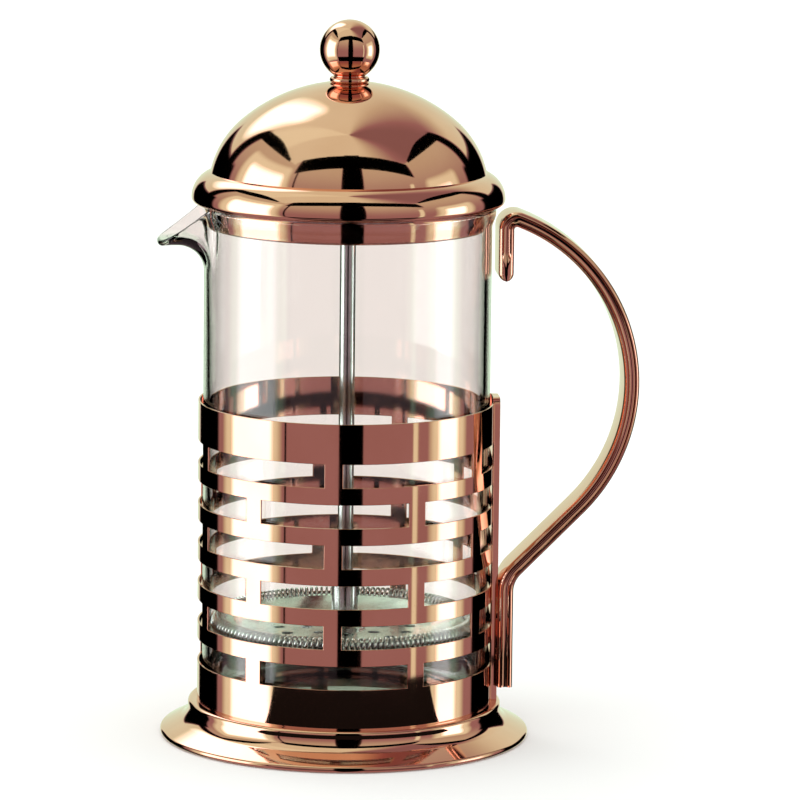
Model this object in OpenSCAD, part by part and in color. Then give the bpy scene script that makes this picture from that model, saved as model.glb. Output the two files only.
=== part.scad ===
// French press: glass beaker in a slotted frame, domed lid, plunger with a spring-edged filter.
// Millimetres. Z is up and is the axis of the beaker; the foot stands on z = 0.
// The handle is on +X and the spout on -X.

/* [Beaker] */
// outer radius of the glass
beaker_r = 48; // [42:0.5:56]
// height of the glass, from its flat bottom to the rim
beaker_h = 167.7; // [150:0.5:200]
// thickness of the glass wall
glass_t = 2.3; // [2:0.1:3]
// how far the spout reaches past the glass wall
spout_reach = 15.8; // [14:0.2:18]
// width of the spout across its lip
spout_w = 26; // [22:0.5:30]

/* [Frame] */
// height of the slotted sleeve above its seat plate
sleeve_h = 102.9; // [90:0.1:118]
// thickness of the sleeve sheet
sleeve_t = 0.65; // [0.5:0.05:1]
// number of slot rows
slot_rows = 6; // [3:1:7]
// share of the row pitch that is open slot
slot_share = 0.578; // [0.4:0.01:0.65]
// width of the upright webs between slots
web_w = 6; // [4:0.5:10]
// angle from one web to the next in a row
web_pitch = 66; // [50:1:72]
// width of the seam strap
strap_w = 13; // [10:0.5:16]
// thickness of the seam strap
strap_t = 2.2; // [1.6:0.1:3]

/* [Handle] */
// greatest reach of the handle's centreline beyond the sleeve
handle_out = 46.2; // [38:0.2:60]
// radius of the main bow of the handle
bow_r = 59.4; // [56:0.2:64]
// thickness of the handle bar, seen from the side
bar_t = 5.1; // [4:0.1:6.5]
// width of the handle bar
bar_w = 17; // [12:0.5:20]
// depth of the groove along each side of the bar
groove_d = 1.3; // [0.6:0.1:2]

/* [Foot] */
// how far the foot stands out beyond the sleeve
foot_out = 13.05; // [11:0.05:18]
// height of the seat plate's top above the table
seat_z = 10.7; // [9.5:0.1:13]
// sheet thickness of the foot ring
foot_t = 0.9; // [0.7:0.05:1.1]

/* [Lid] */
// height of the dome above the glass rim
dome_h = 40.7; // [36:0.1:48]
// sheet thickness of the dome and its liner
lid_t = 0.7; // [0.5:0.05:0.9]
// depth of the liner cup inside the glass
skirt_h = 7.9; // [6:0.1:14]
// radius of the round knob
knob_r = 10; // [8:0.2:13]

/* [Plunger] */
// radius of the plunger rod
rod_r = 2.65; // [2:0.05:3]
// radial play of the rod in its two guides
rod_play = 0.05; // [0.03:0.01:0.09]
// height of the filter coil's centre above the table, plunger pressed down
filter_z = 38.8; // [36:0.1:60]
// radius of the coil's cross-section
coil_r = 2.65; // [2.2:0.05:3]
// radial gap between the coil and the glass
coil_gap = 0.3; // [0.3:0.05:0.5]
// height of the hub sleeve above the filter
hub_h = 17.1; // [10:0.1:24]

/* [Hidden] */

$fa = 5;
$fs = 0.9;

copper = [0.72, 0.43, 0.34];
steel = [0.78, 0.79, 0.80];
dark = [0.12, 0.12, 0.13];

// frame
sleeve_gap = 0.35;
sleeve_in = beaker_r + sleeve_gap;
sleeve_r = sleeve_in + sleeve_t;
sleeve_top = seat_z + sleeve_h;
row_pitch = sleeve_h * 0.1312 * 6 / slot_rows;
slot_h = row_pitch * slot_share;
slot_top = sleeve_top - (sleeve_h - (slot_rows - 1) * row_pitch - slot_h) * 0.482;
web_a = web_w / sleeve_r * 180 / PI;
strap_a = (strap_w / 2 + 0.3) / sleeve_r * 180 / PI;
strap_x = sleeve_r + strap_t;
strap_top = sleeve_top + 1.3;

// foot: collar, cove and sloping brim ending in a rolled lip with a flat hem
shelf_z = seat_z + foot_t;
collar_bend = foot_t + 0.3;
collar_x = sleeve_r + 2.5;
collar_r = collar_x + collar_bend;
cove_r = 5.3;
cove_x = collar_r + cove_r;
lip_r = foot_t + 0.15;
lip_x = sleeve_r + foot_out - lip_r;
brim_a = 64;
cove_z = (cos(brim_a) * (lip_x - cove_x) + sin(brim_a) * lip_r + lip_r + cove_r) / sin(brim_a);
hem_x = lip_x - 2.4;
cover_t = 1.2;
plate_t = 0.8;
plate_r = collar_x;
step_r = beaker_r * 2 / 3;
step_h = 0.8;
cushion_t = 0.8;

// beaker
glass_z = seat_z + step_h + cushion_t;
rim_z = glass_z + beaker_h;
bore_r = beaker_r - glass_t;
floor_t = 2.5;
corner_r = 12;
flare = 1.3;
flare_z = rim_z - 7;
bead_z = rim_z - 3.6;
rim_r = beaker_r + flare;
rim_in = bore_r + 0.9;
spout_a = 40;
lip_rad = spout_w / 2;
lip_drop = 4.6;
spout_depth = 18.5;
horn_r = lip_rad + 1.63;
horn_out = 9.5;
horn_in = horn_out + 2.1;
horn_z = 6.76;
spout_x = beaker_r + spout_reach - lip_rad * cos(spout_a);
spout_z = rim_z - lip_drop;

// handle path: leg, lower bend, straight, bow, upper bend, hook
leg_x = strap_x + bar_t / 2;
leg_z = 16.3;
bow_x = sleeve_r + handle_out - bow_r;
hook_x = rim_r + 0.25 + bar_t / 2;
hook_top = rim_z - 2 - bar_t / 2;
bow_z = hook_top - 55.8;
low_bend = 11;
line_c = bow_x - bow_z + bow_r * sqrt(2);
low_z = leg_x - line_c - low_bend * tan(22.5);
hq = (hook_x - bow_x) - (hook_top - bow_z) + bow_r;
hc = pow(hook_x - bow_x, 2) + pow(hook_top - bow_z, 2) - pow(bow_r, 2);
hook_r = -hq + sqrt(hq * hq - hc);
hook_cx = hook_x + hook_r;
hook_cz = hook_top - hook_r;
hook_a = round(atan2(hook_cz - bow_z, hook_cx - bow_x));
hook_tip = hook_top - 20.6;
groove_r = 1.5;
tip_plain = 6;

// lid
skirt_r = bore_r - 0.5;
skirt_z = rim_z - skirt_h;
flange_r = rim_r + 1.35;
curl_r = 1.6;
curl_z = rim_z + 0.3 + curl_r;
brow_r = 8.95;
brow_x = flange_r + curl_r - brow_r;
dome_a = beaker_r - 1.3;
dome_zc = rim_z + 3.9;
dome_b = dome_h - 3.9;
side_r = dome_a * 0.6638;
side_x = dome_a - side_r;
cap_k = (side_x * side_x - pow(dome_b - side_r, 2)) / (2 * (dome_b - side_r));
cap_r = dome_b + cap_k;
cap_z = dome_zc - cap_k;
cap_a = atan2(cap_k, side_x);
join_a = 0.2;
seat_top = cap_z + cap_r - 0.4;
stem_r = 4.2;
stem_l = 5.9;
bead_r = 6.65;
bead_h = 2;
ferrule_top = seat_top + bead_h;
nut_r = 7.2;
nut_h = 4;
nut_top = cap_z + sqrt(pow(cap_r - lid_t, 2) - nut_r * nut_r) - 0.03;
guide_r = rod_r + rod_play;
bush_r = 5;
bush_flange = 7;
bush_lip = 6.4;
bush_h = 1;
bush_bottom = skirt_z - bush_h;

// knob
neck_r = 5.2;
knob_z = ferrule_top + 0.36 + sqrt(knob_r * knob_r - neck_r * neck_r);
insert_top = knob_z - knob_r * 0.12;
rod_top = insert_top - 1.1;

// filter stack, from the coil down
coil_big = bore_r - coil_gap - coil_r;
rim_w = coil_big - coil_r;
dish_drop = 3.1;
dish_t = 0.8;
dish_in = rim_w * 0.75;
dish_out = rim_w - 2.2;
dish_z = filter_z - dish_t / 2 - dish_drop;
mesh_t = 0.4;
mesh_z = dish_z - mesh_t;
mesh_r = bore_r - 0.35;
mesh_h = 1.9;
cross_t = 0.8;
cross_z = mesh_z - cross_t;
cross_r = rim_w + 0.4;
nut_z = cross_z - 4;
hub_r = 4.4;
hub_z = dish_z + dish_t;
hub_top = hub_z + hub_h;
rod_end = nut_z - 0.8;

// a curved strip of sheet in section: part of a ring round the origin, angles in degrees
module band(r_out, t, a0, a1) {
  reach = r_out * 3;
  mid = (a0 + a1) / 2;
  intersection() {
    difference() {
      circle(r_out);
      circle(r_out - t);
    }
    polygon([[0, 0], reach * [cos(a0), sin(a0)], reach * [cos(mid), sin(mid)],
             reach * [cos(a1), sin(a1)]]);
  }
}

// an upright rectangle in section, between two radii and two heights
module strip(r0, r1, z0, z1) {
  translate([r0, z0])
    square([r1 - r0, z1 - z0]);
}

module tube(r_out, r_in, z0, z1) {
  translate([0, 0, z0])
    difference() {
      cylinder(r = r_out, h = z1 - z0);
      translate([0, 0, -1])
        cylinder(r = r_in, h = z1 - z0 + 2);
    }
}

// one slot of the sleeve, from angle a0 to a1 counted from the handle round by the front
module slot(a0, a1, z_top) {
  rotate([0, 0, -a1])
    rotate_extrude(angle = a1 - a0, $fn = 144)
      strip(sleeve_in - 1, sleeve_r + 1, z_top - slot_h, z_top);
}

module slotted_sleeve() {
  turns = ceil(360 / web_pitch);
  color(copper)
    difference() {
      translate([0, 0, seat_z])
        cylinder(r = sleeve_r, h = sleeve_h, $fn = 144);
      translate([0, 0, seat_z - 1])
        cylinder(r = sleeve_in, h = sleeve_h + 2, $fn = 144);
      for (row = [0 : slot_rows - 1])
        for (k = [-1 : turns]) {
          first = (row % 2 == 0 ? web_pitch / 2 : 0) + k * web_pitch + web_a / 2;
          a0 = max(first, strap_a);
          a1 = min(first + web_pitch - web_a, 360 - strap_a);
          if (a1 - a0 > 4)
            slot(a0, a1, slot_top - row * row_pitch);
        }
    }
}

module seam_strap() {
  corner = 2.5;
  h = strap_top - shelf_z;
  color(copper)
    difference() {
      translate([0, 0, shelf_z])
        rotate([90, 0, 90])
          linear_extrude(strap_x)
            union() {
              translate([-strap_w / 2, 0])
                square([strap_w, h - corner]);
              translate([-strap_w / 2 + corner, 0])
                square([strap_w - 2 * corner, h]);
              for (s = [-1, 1])
                translate([s * (strap_w / 2 - corner), h - corner])
                  circle(corner, $fn = 32);
            }
      translate([0, 0, shelf_z - 1])
        cylinder(r = sleeve_r, h = h + 2, $fn = 144);
    }
}

// section of the handle bar: rounded flat bar with a groove in each side
module bar_section(grooved) {
  corner = bar_t * 0.42;
  difference() {
    union() {
      square([bar_t - 2 * corner, bar_w], center = true);
      square([bar_t, bar_w - 2 * corner], center = true);
      for (sx = [-1, 1], sy = [-1, 1])
        translate([sx * (bar_t / 2 - corner), sy * (bar_w / 2 - corner)])
          circle(corner, $fn = 24);
    }
    if (grooved)
      for (s = [-1, 1])
        translate([0, s * (bar_w / 2 + groove_r - groove_d)])
          circle(groove_r, $fn = 24);
  }
}

// a straight length of the bar, rising from where it stands; what follows goes on from its end
module bar_run(length, grooved) {
  linear_extrude(length)
    bar_section(grooved);
  translate([0, 0, length])
    children();
}

// a bend of the bar, towards +X for side 1 and -X for side -1; what follows goes on from its end
module bar_bend(r, angle, side) {
  translate([side * r, 0, 0]) {
    rotate([90, 0, 0])
      rotate([0, 0, side > 0 ? 180 - angle : 0])
        rotate_extrude(angle = angle, $fn = 96)
          translate([r, 0])
            bar_section(true);
    rotate([0, side * angle, 0])
      translate([-side * r, 0, 0])
        children();
  }
}

module handle() {
  straight_x = leg_x + low_bend * (1 - cos(45));
  straight_l = (bow_x + bow_r * cos(45) - straight_x) * sqrt(2);
  hook_l = hook_cz - hook_tip - tip_plain;
  end_l = tip_plain - bar_t / 2;
  color(copper)
    translate([leg_x, 0, leg_z])
      bar_run(low_z - leg_z, true)
        bar_bend(low_bend, 45, 1)
          bar_run(straight_l, true)
            bar_bend(bow_r, 45 + hook_a, -1)
              bar_bend(hook_r, 180 - hook_a, -1)
                bar_run(hook_l, true)
                  bar_run(end_l, false)
                    intersection() {
                      bar_run(bar_t / 2, false);
                      rotate([90, 0, 0])
                        cylinder(r = bar_t / 2, h = bar_w + 2, center = true, $fn = 32);
                    }
}

// points along an arc in n steps, angles in degrees
function arc(centre, r, a0, a1, n) =
  [for (i = [0 : n]) centre + r * [cos(a0 + (a1 - a0) * i / n), sin(a0 + (a1 - a0) * i / n)]];

module base_ring() {
  bend = [collar_x, shelf_z - collar_bend];
  cove = [cove_x, cove_z];
  lip = [lip_x, lip_r];
  outer = concat([[sleeve_r, shelf_z]],
                 arc(bend, collar_bend, 90, 0, 6),
                 arc(cove, cove_r, 180, 180 + brim_a, 10),
                 arc(lip, lip_r, brim_a, -90, 8));
  inner = concat([[hem_x, 0], [hem_x, foot_t], [lip_x, foot_t]],
                 [lip + (lip_r - foot_t) * [cos(brim_a), sin(brim_a)]],
                 arc(cove, cove_r + foot_t, 180 + brim_a, 180, 10),
                 arc(bend, collar_bend - foot_t, 0, 90, 3),
                 [[sleeve_r, seat_z]]);
  color(copper)
    rotate_extrude($fn = 144)
      polygon(concat(outer, inner));
}

module base_plate() {
  color(steel)
    rotate_extrude($fn = 96)
      polygon([[0, seat_z + step_h - plate_t], [0, seat_z + step_h], [step_r, seat_z + step_h],
               [step_r + 1, seat_z], [plate_r, seat_z], [plate_r, seat_z - plate_t],
               [step_r + 0.6, seat_z - plate_t], [step_r - 0.4, seat_z + step_h - plate_t]]);
}

module base_cover() {
  color(dark)
    cylinder(r = hem_x, h = cover_t, $fn = 96);
}

module seat_cushion() {
  color(dark)
    tube(step_r - 1.5, step_r - 10, seat_z + step_h, glass_z, $fn = 72);
}

// the horn that the spout is part of: a disc with a round hollow run round its underside
module horn(r, depth, hollow, top) {
  difference() {
    cylinder(r = r, h = depth + top);
    translate([0, 0, horn_z])
      rotate_extrude()
        translate([horn_r, 0])
          circle(hollow);
  }
}

module spout_place() {
  translate([-spout_x, 0, spout_z])
    rotate([0, -spout_a, 0])
      translate([0, 0, -spout_depth])
        children();
}

module glass_beaker() {
  ease = 1.1;
  color([0.85, 0.9, 0.92, 0.35])
    difference() {
      union() {
        rotate_extrude($fn = 144)
          union() {
            strip(0, beaker_r - corner_r, glass_z, rim_z - ease);
            strip(0, beaker_r, glass_z + corner_r, flare_z);
            translate([beaker_r - corner_r, glass_z + corner_r])
              intersection() {
                circle(corner_r, $fn = 72);
                translate([0, -corner_r])
                  square(corner_r);
              }
            polygon([[0, flare_z], [beaker_r, flare_z], [rim_r, bead_z], [rim_r, rim_z - ease],
                     [rim_r - ease, rim_z - ease], [0, rim_z - ease]]);
            translate([rim_r - ease, rim_z - ease])
              intersection() {
                circle(ease, $fn = 24);
                square(ease);
              }
            strip(0, rim_r - ease, rim_z - ease, rim_z);
          }
        intersection() {
          spout_place()
            horn(lip_rad, spout_depth, horn_out, 0, $fn = 72);
          translate([-2 * beaker_r, -beaker_r, glass_z])
            cube([2 * beaker_r - bore_r * 0.7, 2 * beaker_r, beaker_h]);
        }
      }
      rotate_extrude($fn = 144)
        union() {
          strip(0, bore_r - corner_r + glass_t, glass_z + floor_t, rim_z + 1);
          strip(0, bore_r, glass_z + floor_t + corner_r - glass_t, rim_z + 1);
          translate([bore_r - corner_r + glass_t, glass_z + floor_t + corner_r - glass_t])
            circle(corner_r - glass_t, $fn = 72);
          polygon([[0, bead_z], [bore_r, bead_z - 3], [rim_in, rim_z + 1], [0, rim_z + 1]]);
        }
      spout_place()
        horn(lip_rad + 3, spout_depth, horn_in, 12, $fn = 72);
    }
}

module lid_dome() {
  color(copper)
    rotate_extrude($fn = 144)
      difference() {
        union() {
          translate([0, cap_z])
            band(cap_r, lid_t, cap_a - join_a, 90);
          translate([side_x, dome_zc])
            band(side_r, lid_t, 11, cap_a);
          translate([brow_x, curl_z])
            band(brow_r, lid_t, -join_a, 71);
          translate([flange_r, curl_z])
            band(curl_r, lid_t, -90, 0);
        }
        strip(-1, stem_r, cap_z, cap_z + cap_r + 1);
        strip(-1, dome_a / 2, seat_top, cap_z + cap_r + 1);
      }
}

module lid_liner() {
  color(copper)
    rotate_extrude($fn = 144)
      union() {
        strip(bush_r, skirt_r, skirt_z, skirt_z + lid_t);
        strip(skirt_r - lid_t, skirt_r, skirt_z, rim_z + lid_t);
        strip(skirt_r, flange_r, rim_z, rim_z + lid_t);
      }
}

module liner_bush() {
  color(dark)
    rotate_extrude($fn = 48)
      union() {
        strip(guide_r, bush_flange, bush_bottom, skirt_z);
        strip(guide_r, bush_r, skirt_z, skirt_z + lid_t);
        strip(guide_r, bush_lip, skirt_z + lid_t, skirt_z + lid_t + 0.8);
      }
}

module lid_ferrule() {
  round_r = bead_h / 2;
  color(copper)
    rotate_extrude($fn = 72)
      difference() {
        union() {
          strip(guide_r, stem_r, seat_top - stem_l, seat_top + round_r);
          strip(guide_r, bead_r - round_r, seat_top, ferrule_top);
          translate([bead_r - round_r, seat_top + round_r])
            circle(round_r, $fn = 32);
        }
        translate([0, -1])
          square([guide_r, ferrule_top + 2]);
      }
}

module ferrule_nut() {
  color(steel)
    difference() {
      translate([0, 0, nut_top - nut_h])
        cylinder(r = nut_r, h = nut_h, $fn = 6);
      translate([0, 0, nut_top - nut_h - 1])
        cylinder(r = stem_r, h = nut_h + 2, $fn = 48);
    }
}

module knob_ball() {
  color(copper)
    difference() {
      translate([0, 0, knob_z])
        sphere(knob_r, $fn = 72);
      translate([0, 0, knob_z - 2 * knob_r])
        cylinder(r = neck_r, h = insert_top - knob_z + 2 * knob_r, $fn = 48);
    }
}

module knob_insert() {
  color(copper)
    difference() {
      translate([0, 0, ferrule_top])
        cylinder(r = neck_r, h = insert_top - ferrule_top, $fn = 48);
      translate([0, 0, ferrule_top - 1])
        cylinder(r = guide_r, h = rod_top + 0.1 - ferrule_top + 1, $fn = 48);
    }
}

module plunger_rod() {
  color(steel)
    translate([0, 0, rod_end])
      cylinder(r = rod_r, h = rod_top - rod_end, $fn = 48);
}

module hub_sleeve() {
  flange = 1;
  color(steel)
    rotate_extrude($fn = 48)
      polygon([[rod_r, hub_z], [hub_r + 2.6, hub_z], [hub_r + 2.6, hub_z + flange],
               [hub_r, hub_z + flange], [hub_r, hub_top - 0.8], [hub_r - 0.8, hub_top],
               [rod_r, hub_top]]);
}

module spiral_plate() {
  rings = [[12, 8], [20.5, 14]];
  hole = 2;
  color(steel)
    difference() {
      rotate_extrude($fn = 96)
        polygon([[rod_r, dish_z], [dish_in, dish_z], [dish_out, dish_z + dish_drop],
                 [rim_w, dish_z + dish_drop], [rim_w, dish_z + dish_drop + dish_t],
                 [dish_out - 0.4, dish_z + dish_drop + dish_t], [dish_in - 0.4, dish_z + dish_t],
                 [rod_r, dish_z + dish_t]]);
      for (ring = rings)
        for (k = [0 : ring[1] - 1])
          rotate([0, 0, k * 360 / ring[1]])
            translate([ring[0] * dish_in / 28, 0, dish_z - 1])
              cylinder(r = hole, h = dish_t + 2, $fn = 20);
    }
}

module coil_spring() {
  color(steel)
    translate([0, 0, filter_z])
      rotate_extrude($fn = 96)
        translate([coil_big, 0])
          circle(coil_r, $fn = 20);
}

module filter_mesh() {
  color(steel)
    rotate_extrude($fn = 96)
      union() {
        strip(rod_r, mesh_r, mesh_z, mesh_z + mesh_t);
        strip(mesh_r - mesh_t, mesh_r, mesh_z, mesh_z + mesh_h);
      }
}

// openings of the cross plate: six sectors in two rings, between broad arms
module cross_plate() {
  arms = 6;
  arm_w = 6;
  hub = 9;
  band_w = 3;
  mid = (hub + cross_r) / 2;
  color(steel)
    difference() {
      tube(cross_r, rod_r, cross_z, cross_z + cross_t, $fn = 96);
      difference() {
        union() {
          tube(mid - band_w / 2, hub, cross_z - 1, cross_z + cross_t + 1, $fn = 60);
          tube(cross_r - 4, mid + band_w / 2, cross_z - 1, cross_z + cross_t + 1, $fn = 72);
        }
        for (k = [0 : arms / 2 - 1])
          rotate([0, 0, 30 + k * 360 / arms])
            translate([-cross_r - 1, -arm_w / 2, cross_z - 2])
              cube([2 * cross_r + 2, arm_w, cross_t + 4]);
      }
    }
}

module hub_nut() {
  color(steel)
    difference() {
      translate([0, 0, nut_z])
        cylinder(r = 5.8, h = cross_z - nut_z, $fn = 6);
      translate([0, 0, nut_z - 1])
        cylinder(r = rod_r, h = cross_z - nut_z + 2, $fn = 48);
    }
}

slotted_sleeve();
seam_strap();
handle();
base_ring();
base_plate();
base_cover();
seat_cushion();
glass_beaker();
lid_dome();
lid_liner();
liner_bush();
lid_ferrule();
ferrule_nut();
knob_ball();
knob_insert();
plunger_rod();
hub_sleeve();
spiral_plate();
coil_spring();
filter_mesh();
cross_plate();
hub_nut();
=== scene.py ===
# %% [markdown]
# # A french press in polished copper plate, steel and glass
# The press has a slotted metal sleeve on a spun foot, a glass beaker with a pouring spout, a
# domed lid and a plunger whose filter is edged with a coil spring. Every piece below is placed
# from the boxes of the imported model, so nothing is fitted by eye. Lengths are in metres; `MM`
# turns the maker's millimetres into metres.

# %% Load the frame
import math

import bmesh
import bpy
from mathutils import Matrix, Vector


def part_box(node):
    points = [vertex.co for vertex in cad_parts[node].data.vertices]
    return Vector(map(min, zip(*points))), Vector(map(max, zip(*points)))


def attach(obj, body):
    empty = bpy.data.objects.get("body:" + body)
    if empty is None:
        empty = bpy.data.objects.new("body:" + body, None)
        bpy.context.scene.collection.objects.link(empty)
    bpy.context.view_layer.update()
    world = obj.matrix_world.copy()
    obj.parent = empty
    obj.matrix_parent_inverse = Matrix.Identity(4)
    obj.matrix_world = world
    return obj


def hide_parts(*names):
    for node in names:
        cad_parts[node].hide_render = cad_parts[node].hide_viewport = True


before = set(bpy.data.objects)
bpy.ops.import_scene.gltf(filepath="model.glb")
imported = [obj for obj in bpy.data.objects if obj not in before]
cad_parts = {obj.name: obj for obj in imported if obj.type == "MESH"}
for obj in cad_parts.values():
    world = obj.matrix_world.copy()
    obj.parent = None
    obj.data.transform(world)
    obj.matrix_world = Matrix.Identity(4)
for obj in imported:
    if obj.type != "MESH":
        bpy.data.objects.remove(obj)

MM = 0.001
scene = bpy.context.scene
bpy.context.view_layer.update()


# %% [markdown]
# ## Sizes taken from the frame
# A round piece reaches as far along Y as its radius, and its box gives its top and bottom.

# %% Sizes taken from the frame
def top(node):
    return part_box(node)[1].z


def bottom(node):
    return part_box(node)[0].z


def radius(node):
    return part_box(node)[1].y


sleeve_r = radius("slotted_sleeve")
sleeve_t = 0.65 * MM
rim_z = top("glass_beaker")
print("sleeve radius", round(sleeve_r / MM, 2), "mm, glass rim at", round(rim_z / MM, 1), "mm")


# %% [markdown]
# ## Arithmetic on sockets
# A material is easier to read as a formula than as a list of nodes. `Value` wraps one socket, and
# each operator adds a Math node. `Graph.node` makes any other node from its type, its settings
# and what its sockets get. The same two classes serve materials and Geometry Nodes.

# %% Arithmetic on sockets
class Value:
    """A number in a node tree, used in ordinary expressions."""

    def __init__(self, tree, socket):
        self.tree, self.socket = tree, socket

    def math(self, operation, *operands):
        node = self.tree.nodes.new("ShaderNodeMath")
        node.operation = operation
        for place, operand in zip(node.inputs, operands):
            connect(self.tree, place, operand)
        return Value(self.tree, node.outputs[0])

    def __add__(self, other):
        return self.math("ADD", self, other)

    def __radd__(self, other):
        return self.math("ADD", other, self)

    def __sub__(self, other):
        return self.math("SUBTRACT", self, other)

    def __rsub__(self, other):
        return self.math("SUBTRACT", other, self)

    def __mul__(self, other):
        return self.math("MULTIPLY", self, other)

    def __rmul__(self, other):
        return self.math("MULTIPLY", other, self)

    def __truediv__(self, other):
        return self.math("DIVIDE", self, other)

    def __rtruediv__(self, other):
        return self.math("DIVIDE", other, self)

    def __neg__(self):
        return self.math("MULTIPLY", self, -1)

    def __gt__(self, other):
        return self.math("GREATER_THAN", self, other)

    def __lt__(self, other):
        return self.math("LESS_THAN", self, other)

    def least(self, other):
        return self.math("MINIMUM", self, other)

    def most(self, other):
        return self.math("MAXIMUM", self, other)

    def sine(self):
        return self.math("SINE", self)

    def cosine(self):
        return self.math("COSINE", self)

    def size(self):
        return self.math("ABSOLUTE", self)

    def root(self):
        return self.math("SQRT", self)

    def whole(self):
        return self.math("FLOOR", self)


def connect(tree, place, given):
    """Links a socket, or sets its value."""
    if isinstance(given, Value):
        tree.links.new(given.socket, place)
    elif isinstance(given, bpy.types.NodeSocket):
        tree.links.new(given, place)
    else:
        place.default_value = given


class Graph:
    """A node tree with one method that makes any node."""

    def __init__(self, tree):
        self.tree = tree

    def node(self, kind, settings=None, values=None, out=0):
        made = self.tree.nodes.new(kind)
        for name, value in (settings or {}).items():
            if name == "stops":
                ramp = made.color_ramp
                while len(ramp.elements) < len(value):
                    ramp.elements.new(0.5)
                for element, (where, colour) in zip(ramp.elements, value):
                    element.position, element.color = where, (*colour, 1)
            else:
                setattr(made, name, value)
        for name, value in (values or {}).items():
            connect(self.tree, made.inputs[name], value)
        return Value(self.tree, made.outputs[out]) if made.outputs else made

    def parts(self, vector):
        """The three numbers of a vector."""
        split = self.node("ShaderNodeSeparateXYZ", values={0: vector}).socket.node
        return [Value(self.tree, o) for o in split.outputs]

    def joined(self, x, y, z):
        return self.node("ShaderNodeCombineXYZ", values={0: x, 1: y, 2: z})

    def rise(self, value, start, end):
        """Goes smoothly from 0 at start to 1 at end."""
        return self.node("ShaderNodeMapRange", {"interpolation_type": "SMOOTHSTEP"},
                         {0: value, 1: start, 2: end, 3: 0.0, 4: 1.0})

    def between(self, value, low, high, soft):
        """1 between low and high, falling smoothly to 0 over soft on either side."""
        up = self.rise(value, low - soft / 2, low + soft / 2)
        return up * (1 - self.rise(value, high - soft / 2, high + soft / 2))

    def blend(self, factor, a, b):
        """Colour a where factor is 0 and colour b where it is 1."""
        return self.node("ShaderNodeMix", {"data_type": "RGBA"}, {0: factor, 6: a, 7: b}, out=2)


print("socket arithmetic ready")


# %% [markdown]
# ## The camera
# The press is looked at from a little above, from almost two metres away through a long lens, so
# its upright edges stay nearly parallel. The camera is turned by half a degree about its own
# axis, which makes the press lean a little, and the frame is shifted to leave room for the handle.

# %% The camera
camera_azimuth = math.radians(-4.4)
camera_reach = 1.844
camera_height = 0.4259
aim = Vector((0, 0, 0.110))
camera_roll = 0.0091

away = Vector((math.sin(camera_azimuth), -math.cos(camera_azimuth), 0))
camera = bpy.data.objects.new("camera", bpy.data.cameras.new("camera"))
scene.collection.objects.link(camera)
scene.camera = camera
camera.location = away * camera_reach + Vector((0, 0, camera_height))
camera.rotation_mode = "QUATERNION"
looking = (aim - camera.location).to_track_quat("-Z", "Y")
turn = looking.to_matrix().to_4x4()
turn @= Matrix.Rotation(camera_roll, 4, "Z")
camera.rotation_quaternion = turn.to_quaternion()
camera.data.lens = 251.4
camera.data.sensor_width = 36
camera.data.shift_x = 0.0668
camera.data.shift_y = 0.0127
camera.data.clip_end = 60
print("camera at", [round(v, 3) for v in camera.location])

# %% [markdown]
# ## The studio
# Polished metal shows its surroundings more than itself. The press stands in a white tent: two
# large soft panels left and right, a grey front panel with an upright gap for the lens, a pale
# ceiling with one bright corner, and dark gaps where the panels meet. Painting the tent on the
# world is enough, because every reflection depends on its direction alone. Diffuse surfaces get
# plain even light, and the floor is a plain pale sheet that the metal doesn't mirror.

# %% The studio
world = bpy.data.worlds.new("tent")
scene.world = world
world.use_nodes = True
world.node_tree.nodes.clear()
tent = Graph(world.node_tree)

x, y, z = tent.parts(tent.node("ShaderNodeTexCoord").socket)
front = x * away.x + y * away.y
right = y * away.x - x * away.y
azimuth = front.math("ARCTAN2", right, front) * (180 / math.pi)
elevation = z.math("ARCSINE", z) * (180 / math.pi)


def panel(az_low, az_high, az_soft, el_low, el_high, el_soft):
    """A soft-edged patch of the tent, between two azimuths and two elevations in degrees."""
    across = tent.between(azimuth, az_low, az_high, az_soft)
    return across * tent.between(elevation, el_low, el_high, el_soft)


tone = 0.33 + 0.15 * tent.rise(elevation, -6, 45)
tone = tone.most(panel(-102, -57, 12, -24, 30, 16) * 1.0)
tone = tone.most(panel(-112, -50, 16, -34, 40, 16) * 0.62)
tone = tone.most(panel(74, 99, 12, -20, 14, 12) * 1.0)
tone = tone.most(panel(66, 108, 16, -28, 24, 16) * 0.62)
tone = tone.most(tent.between(azimuth, 53, 58, 3) * tent.between(elevation, -30, 20, 6) * 0.62)
tone = tone.most((azimuth.size() > 158) * tent.between(elevation, -34, 30, 14) * 0.56)
print("tent panels laid out")

# %% The ceiling and the dark gaps
ceiling = 0.57 - 0.30 * tent.between(azimuth, 42, 150, 60) * tent.rise(elevation, 28, 48)
ceiling = ceiling.most(tent.between(azimuth, -168, -130, 26) * tent.between(elevation, 22, 66, 22))
ceiling = ceiling.most(tent.between(azimuth, -150, -60, 60) * 0.62)
front_high = z / front.most(0.001)
side_high = z / right.size().most(0.001)
over = (front_high > 1.6) * (azimuth.size() < 55)
over = over.most((side_high > 1.02) * (azimuth.size() > 55) * (azimuth.size() < 128))
over = over.most((azimuth.size() > 128) * (elevation > 16))
tone = tone + (ceiling - tone) * over

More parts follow.
